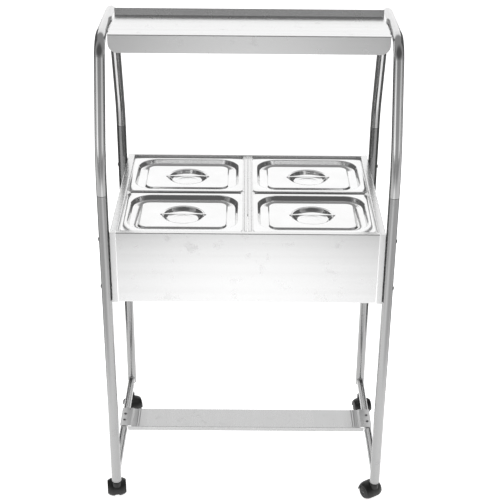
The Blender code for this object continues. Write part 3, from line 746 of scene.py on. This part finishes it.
def add_plate_screws():
    """Pan-head screws that hold the cross plate's tabs to the rails."""
    seat = PLATE_HIGH.z + GAP
    for side, sign in SIDES.items():
        for end, y in (("front", PLATE_LOW.y + 0.032), ("rear", PLATE_HIGH.y - 0.033)):
            profile = [(0.0020, seat - 0.010), (0.0020, seat)]
            profile += [(0.0040, seat), (0.0042, seat + 0.0005), (0.0039, seat + 0.0012)]
            profile += [(0.0030, seat + 0.0018), (0.0012, seat + 0.0021)]
            screw = turned(profile, 32)
            slots = []
            for half_x, half_y in ((0.0006, 0.0024), (0.0024, 0.0006)):
                low, high = seat + 0.0006, seat + 0.003
                slots.append(block((-half_x, -half_y, low), (half_x, half_y, high)))
            place = (sign * TUBE_OFFSET, y, 0)
            # The screw's dark finish is painted shade.
            piece(f"plate_screw_{end}_{side}", without(screw, slots), "dark_fastener", place=place)


# Shelf and cross plate.


def add_shelf():
    """A tray with an upstand at the rear, a deep front lip with round lower corners, and side flanges."""
    half, under = SHELF_HIGH.x, SHELF_TOP - SHEET
    y0, y1 = SHELF_LOW.y, SHELF_HIGH.y
    section = [(y0, SHELF_TOP - 0.004), (y0, SHELF_TOP), (y1, SHELF_TOP), (y1, SHELF_HIGH.z)]
    # The sheet lies under its upper face and in front of its upstand.
    mirrored = [(-y, z) for y, z in section]
    outline = [(-y, z) for y, z in bent(mirrored)]
    tray = prism(outline, "X", -half, half)
    bottom, corner, steps = SHELF_LOW.z, 0.024, 14
    face = [(half, SHELF_TOP - 0.003), (-half, SHELF_TOP - 0.003)]
    for sx, first in ((-1, 180), (1, 270)):
        for s in range(steps + 1):
            angle = math.radians(first + 90 * s / steps)
            x = sx * (half - corner) + corner * math.cos(angle)
            face.append((x, bottom + corner + corner * math.sin(angle)))
    shapes = [tray, prism(face, "Y", y0, y0 + SHEET)]
    for sign in SIDES.values():
        xs = sorted((sign * half, sign * (half - SHEET)))
        flange_low = SHELF_TOP - SIDE_FLANGE
        shapes.append(block((xs[0], y0 + SHEET / 2, flange_low), (xs[1], y1, under + SHEET / 2)))
    piece("serving_shelf", united(shapes), "shelf", replaces=["top_shelf"])


def add_cross_plate():
    """A plate with tabs on the rails, a lower floor with two ribs at each end, and turned-down lips."""
    half, tab_inner, floor_edge = PLATE_HIGH.x, 0.3525, 0.3290
    top, floor = PLATE_HIGH.z, PLATE_HIGH.z - 0.003
    rib = floor + 0.0012
    face = [(half, top), (tab_inner, top), (tab_inner - 0.0045, floor), (floor_edge + 0.0060, floor)]
    face += [(floor_edge + 0.0040, rib), (floor_edge + 0.0020, floor), (floor_edge, floor)]
    face += [(floor_edge - 0.0020, rib), (floor_edge - 0.0040, floor)]
    face += [(-x, z) for x, z in reversed(face)]
    outline = bent(face, fold=0.0016, steps=3)
    shapes = [prism(outline, "Y", PLATE_LOW.y + SHEET / 2, PLATE_HIGH.y - SHEET / 2)]
    lip = TUBE_OFFSET - RAIL_RADIUS - 0.002
    for y in (PLATE_LOW.y, PLATE_HIGH.y - SHEET):
        shapes.append(block((-lip, y, PLATE_LOW.z), (lip, y + SHEET, floor - SHEET / 2)))
    piece("low_plate", united(shapes), "plate", replaces=["cross_plate"])


# Pans and lids.

PAN_CORNER, RIM_CORNER, RIM = 0.040, 0.012, 0.011
PAN_SHEET, LID_SHEET = 0.00096, 0.0008
LID_CHANNEL, LID_FIELD, LID_BOWL = 0.013, 0.008, 0.016


def flatten_side_rims(loops, top):
    """The rims at the front and rear are rolled well down. At the sides they lie flat on the ledges."""
    for loop in loops:
        for k, point in enumerate(loop):
            quarter, step = divmod(k, CORNER_STEPS + 1)
            turn = math.radians(90 * step / CORNER_STEPS)
            lean = math.sin(turn) if quarter % 2 == 0 else math.cos(turn)
            point.z = top + (point.z - top) * max(0.02, lean ** 2)


def add_pans():
    for row in ROWS:
        for side in SIDES:
            node = f"pan_{row}_{side}"
            low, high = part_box(node)
            half_x, half_y = (high.x - low.x) / 2, (high.y - low.y) / 2
            deep = high.z - low.z
            rings = [  # (in from the edge, corner radius, height below the rim's top)
                (0.0000, RIM_CORNER, 0.0095),
                (0.0006, RIM_CORNER, 0.0070),
                (0.0024, RIM_CORNER, 0.0036),
                (0.0042, RIM_CORNER + 0.001, 0.0010),
                (0.0056, RIM_CORNER + 0.003, 0.0000),
                (RIM, PAN_CORNER, 0.0000),
                (RIM + 0.0016, PAN_CORNER, 0.0005),
                (RIM + 0.0024, PAN_CORNER, 0.0020),
                (RIM + 0.0040, PAN_CORNER, 0.0220),
                (RIM + 0.0062, PAN_CORNER, 0.0245),
                (RIM + 0.0100, PAN_CORNER, deep - 0.0150),
                (RIM + 0.0125, PAN_CORNER, deep - 0.0065),
                (RIM + 0.0180, PAN_CORNER - 0.004, deep - 0.0025),
                (RIM + 0.0260, PAN_CORNER - 0.010, deep - SHEET),
            ]
            loops = [round_corners(half_x - i, half_y - i, r, high.z - d) for i, r, d in rings]
            flatten_side_rims(loops[:5], high.z)
            spot = middle(node)
            pressing = shell(loops, PAN_SHEET)
            piece(f"deep_{node}", pressing, "pan", node, [node], place=(spot.x, spot.y, 0))


def add_lids():
    for row in ROWS:
        for side in SIDES:
            where = f"{row}_{side}"
            node = "lid_" + where
            low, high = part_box(node)
            half_x, half_y = (high.x - low.x) / 2, (high.y - low.y) / 2 - 0.0020
            top, spot = high.z, middle(node)
            channel, field = top - LID_CHANNEL, top - LID_FIELD
            rings = [  # (in from the edge, corner radius, height)
                (0.0000, RIM_CORNER, top - 0.0007),
                (0.0003, RIM_CORNER, top - 0.0002),
                (0.0010, RIM_CORNER, top),
                (0.0105, 0.0600, top),
                (0.0120, 0.0590, top - 0.0004),
                (0.0134, 0.0580, top - 0.0018),
                (0.0188, 0.0530, channel + 0.0022),
                (0.0204, 0.0515, channel + 0.0006),
                (0.0226, 0.0495, channel),
                (0.0405, 0.0245, channel),
                (0.0420, 0.0232, channel + 0.0006),
                (0.0442, 0.0212, field - 0.0008),
                (0.0460, 0.0195, field - 0.0001),
                (0.0480, 0.0180, field),
                (0.0500, 0.0160, field),
            ]
            loops = [round_corners(half_x - i, half_y - i, r, z) for i, r, z in rings]
            bowl = [(0.0620, 0), (0.0584, 0), (0.0578, 0.0003), (0.0568, 0.0010), (0.0560, 0.0011)]
            bowl += [(0.0548, 0.0013), (0.0537, 0.0022), (0.0505, 0.0060), (0.0465, 0.0104)]
            bowl += [(0.0425, 0.0135), (0.0380, 0.0153), (0.0320, LID_BOWL), (0.0100, LID_BOWL)]
            loops += [circle_loop(radius, field - depth) for radius, depth in bowl]
            place = (spot.x, spot.y, 0)
            piece(f"cover_{where}", shell(loops, LID_SHEET), "lid", node, [node], place=place)
            add_handle(where, place)


def add_handle(where, place):
    """A strap over the bowl, welded to the lid at its narrow tips."""
    stations, sides = 41, 12
    node = "lid_handle_" + where
    low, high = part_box(node)
    half_length, seat = (high.x - low.x) / 2, low.z
    rise, thick = 0.0030, 0.0018
    loops = []
    for k in range(stations):
        t = -1 + 2 * k / (stations - 1)
        bow = 0.5 + 0.5 * math.cos(math.pi * min(1.0, abs(t) / 0.84))
        tip = math.sqrt(max(0.0, 1 - (max(0.0, abs(t) - 0.93) / 0.07) ** 2))
        half_width = max(0.0004, (0.0032 + 0.0056 * bow) * tip)
        z = seat + rise * bow + thick / 2
        loop = []
        for s in range(sides):
            angle = 2 * math.pi * (s + 0.5) / sides
            edge = math.copysign(abs(math.cos(angle)) ** 0.5, math.cos(angle))
            face = math.copysign(abs(math.sin(angle)) ** 0.5, math.sin(angle))
            loop.append(Vector((half_length * t, half_width * edge, z + thick / 2 * face)))
        loops.append(loop)
    piece(f"strap_{where}", skin(loops), "lid", "lid_" + where, [node], place=place)


# Casters.

WHEEL_RADIUS, TRAIL = 0.025, 0.018
HUB = (0, TRAIL, WHEEL_RADIUS)
HOOD_TOP = 0.0600


def add_casters():
    for joint in frame["joints"]:
        if joint["name"].endswith("_swivel"):
            where = joint["child"].removeprefix("caster_")
            pivot = Vector((joint["pos_m"][0], joint["pos_m"][1], 0))
            spin = next(j for j in frame["joints"] if j["name"] == f"wheel_{where}_left_spin")
            turn = math.atan2(spin["axis"][1], spin["axis"][0])
            add_caster(where, pivot, turn)


def add_caster(where, pivot, turn):
    body = "caster_" + where
    at = {"place": pivot, "turn": turn}
    axle = [(0.0018, -0.0255), (0.0025, -0.0248), (0.0025, 0.0248), (0.0018, 0.0255)]
    pin = turned(axle, 24, "X", centre=HUB)
    piece(f"{body}_pin", pin, "fastener", body, [f"{body}_axle"], **at)
    add_stem(where, at)
    piece(f"{body}_cover", hood_shape(), "hood", body, [f"{body}_hood"], **at)
    for side, across in SIDES.items():
        wheel = wheel_shape(across)
        node = f"{body}_wheel_{side}"
        piece(f"{body}_roller_{side}", wheel, "wheel", f"wheel_{where}_{side}", [node], **at)


def add_stem(where, at):
    """A stem with a collar: front stems end under a leg plug and rear stems go into a rail."""
    low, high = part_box(f"caster_{where}_stem")
    neck, collar, stem = 0.0034, 0.0085, 0.0050
    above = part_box("leg_plug_left")[0].z if where.startswith("front") else RAIL_LOW.z
    collar_low, collar_high = HOOD_TOP + GAP, above - 2 * GAP
    profile = [(neck - EASE, low.z), (neck, low.z + EASE)]
    profile += [(neck, collar_low), (collar - EASE, collar_low)]
    if collar_high - collar_low > 2 * EASE:
        profile += [(collar, collar_low + EASE), (collar, collar_high - EASE)]
    profile += [(collar - EASE, collar_high), (stem, collar_high)]
    profile += [(stem, high.z - EASE), (stem - EASE, high.z)]
    piece(f"stem_{where}", turned(profile, 36), "fastener", "frame", [f"caster_{where}_stem"], **at)


def dome(x):
    """How far the casters' round shoulders fall away at x from the middle."""
    return 0.0075 * max(0.0, (abs(x) - 0.0085) / 0.0190) ** 2


def wheel_shape(across):
    """A hard wheel with a domed tread, a rim groove and a hub ring on its outer face."""
    tread = [0.0070, 0.0085, 0.0110, 0.0135, 0.0160, 0.0185, 0.0205, 0.0222, 0.0236]
    profile = [(0.0028, 0.0050), (0.0205, 0.0050), (0.0232, 0.0056)]
    profile += [(0.0246 - dome(x), x) for x in tread]
    profile += [
        (0.0172, 0.0249),
        (0.0155, 0.0257),
        (0.0148, 0.0259),
        (0.0143, 0.0253),
        (0.0136, 0.0253),
        (0.0131, 0.0261),
        (0.0100, 0.0267),
        (0.0080, 0.0268),
        (0.0074, 0.0262),
        (0.0066, 0.0262),
        (0.0060, 0.0269),
        (0.0040, 0.0270),
        (0.0028, 0.0268),
    ]
    return turned([(r, across * x) for r, x in profile], 64, "X", ring=True, centre=HUB)


def hood_shape():
    """The housing: a domed fender over both wheels, a web between them and a boss for the stem."""
    inner, wall, half, web_half = WHEEL_RADIUS + 0.0015, 0.0024, 0.0270, 0.0033
    steps, first, last = 44, -6.0, 196.0
    across = [half * math.sin(math.radians(90 * k / 12)) for k in range(-12, 13)]
    loops = []
    for s in range(steps + 1):
        angle = math.radians(first + (last - first) * s / steps)
        end = min(s, steps - s)
        thin = 0.0 if end > 2 else (0.0007, 0.0002, 0.0)[end]
        outside = [(x, inner + wall - thin - dome(x)) for x in across]
        inside = [(x, inner + 0.4 * thin - dome(x)) for x in reversed(across)]
        loop = []
        for x, radius in outside + inside:
            y, z = radius * math.cos(angle), radius * math.sin(angle)
            loop.append(Vector((x, TRAIL + y, WHEEL_RADIUS + z)))
        loops.append(loop)
    web, radius, short = [], inner + wall / 2, 4
    for s in range(steps + 1):
        angle = math.radians(first + short + (last - first - 2 * short) * s / steps)
        web.append((TRAIL + radius * math.cos(angle), WHEEL_RADIUS + radius * math.sin(angle)))
    web.append((TRAIL + 0.004, 0.0135))
    crown = [(0.0115, 0.0440), (0.0115, 0.0588), (0.0111, 0.0596), (0.0103, HOOD_TOP)]
    plate = eased(prism(web, "X", -web_half, web_half), 0.0004, 60)
    hood = united([skin(loops), plate, turned(crown, 48)])
    bore = turned([(0.0038, 0.0480), (0.0038, 0.07)], 32)
    cross = turned([(0.0028, -0.01), (0.0028, 0.01)], 32, "X", centre=HUB)
    rooms = []
    for side in SIDES.values():
        profile = [(inner - GAP - dome(x), side * x) for x in [web_half, *across[17:]]]
        profile.append((0.0190, side * (half + 0.002)))
        rooms.append(turned(profile, 96, "X", centre=HUB))
    return without(hood, [bore, cross, *rooms])


# Stage.


def stage_face(name, corners, material):
    """Makes a flat face that belongs to the stage."""
    mesh = bpy.data.meshes.new(name)
    mesh.from_pydata(corners, [], [(0, 1, 2, 3)])
    mesh.materials.append(material)
    face = bpy.data.objects.new(name, mesh)
    bpy.context.scene.collection.objects.link(face)
    return face


def add_floor():
    reach, level = 60.0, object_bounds()[0].z - 0.0002
    corners = [(sx * reach, sy * reach, level) for sx, sy in ((-1, -1), (1, -1), (1, 1), (-1, 1))]
    stage_face("floor", corners, floor_finish())


def add_cards():
    """Dark cards on both sides, seen only as the dark edges that they draw on the bright metal."""
    corners = [(0.84, -0.05, 0.0), (1.25, 2.6, 0.0), (1.25, 2.6, 1.9), (0.84, -0.05, 1.9)]
    for side, sign in SIDES.items():
        mirrored = [(sign * x, y, z) for x, y, z in corners]
        card = stage_face("card_" + side, mirrored, FINISH["card"])
        card.visible_camera = False
        card.visible_shadow = False
        card.visible_diffuse = False


def add_overhead_light():
    """A wide soft light that faces straight down. The steel doesn't mirror it."""
    light = bpy.data.lights.new("overhead", "AREA")
    light.shape = "RECTANGLE"
    light.size, light.size_y = 2.4, 1.8
    light.energy = 45
    lamp = bpy.data.objects.new("overhead", light)
    bpy.context.scene.collection.objects.link(lamp)
    lamp.location = (0, 0.9, 3.4)
    lamp.visible_camera = False
    lamp.visible_glossy = False


def add_world():
    """A bright wall of light behind the trolley, a softbox on each side of the viewer and a dim room."""
    world = bpy.data.worlds.new("studio")
    bpy.context.scene.world = world
    tree = Tree(world)
    spot = tree.node("TexCoord", output="Generated")
    _, back, up = tree.parts(spot)
    light = tree.blend(tree.ease(back, 0.50, 0.72), grey(0.36), grey(1.20))
    front = tree.blend(tree.ease(up, 0.28, 0.60), grey(0.44), grey(0.12))
    light = tree.blend(tree.ease(back, -0.05, -0.45), light, front)
    for where, level in ((-0.74, 1.55), (0.80, 1.05)):
        softbox = (where, -0.60, 0.10)
        offset = tree.node("VectorMath", {"operation": "SUBTRACT"}, {0: spot, 1: softbox})
        flatter = tree.node("VectorMath", {"operation": "MULTIPLY"}, {0: offset, 1: (1.0, 1.0, 1.5)})
        distance = tree.node("VectorMath", {"operation": "LENGTH"}, {0: flatter}, output=1)
        light = tree.blend(tree.ease(distance, 0.46, 0.14), light, grey(level))
    tree.feed(tree.nodes["Background"].inputs["Color"], light)


def add_camera():
    """A long lens in front of the trolley, above the shelf, that looks down. Angles are in degrees."""
    pitch, yaw, roll = 27.04, 0.31, -0.56
    data = bpy.data.cameras.new("camera")
    camera = bpy.data.objects.new("camera", data)
    bpy.context.scene.collection.objects.link(camera)
    data.lens, data.sensor_width, data.shift_y = 86.0, 36.0, 0.05
    turn = Euler((math.radians(90 - pitch), 0, math.radians(-yaw))).to_matrix()
    turn = turn @ Matrix.Rotation(math.radians(-roll), 3, "Z")
    camera.matrix_world = Matrix.Translation((-0.0084, -3.0847, 2.1721)) @ turn.to_4x4()
    bpy.context.scene.camera = camera


def main():
    add_legs()
    add_hoops()
    add_base_rails()
    add_leg_ends()
    add_end_panels()
    add_side_panels()
    add_divider()
    add_well_bolts()
    add_shelf_bolts()
    add_plate_screws()
    add_shelf()
    add_cross_plate()
    add_pans()
    add_lids()
    add_casters()
    add_floor()
    add_cards()
    add_overhead_light()
    add_world()
    add_camera()
    bpy.context.scene.view_settings.view_transform = "Standard"


main()
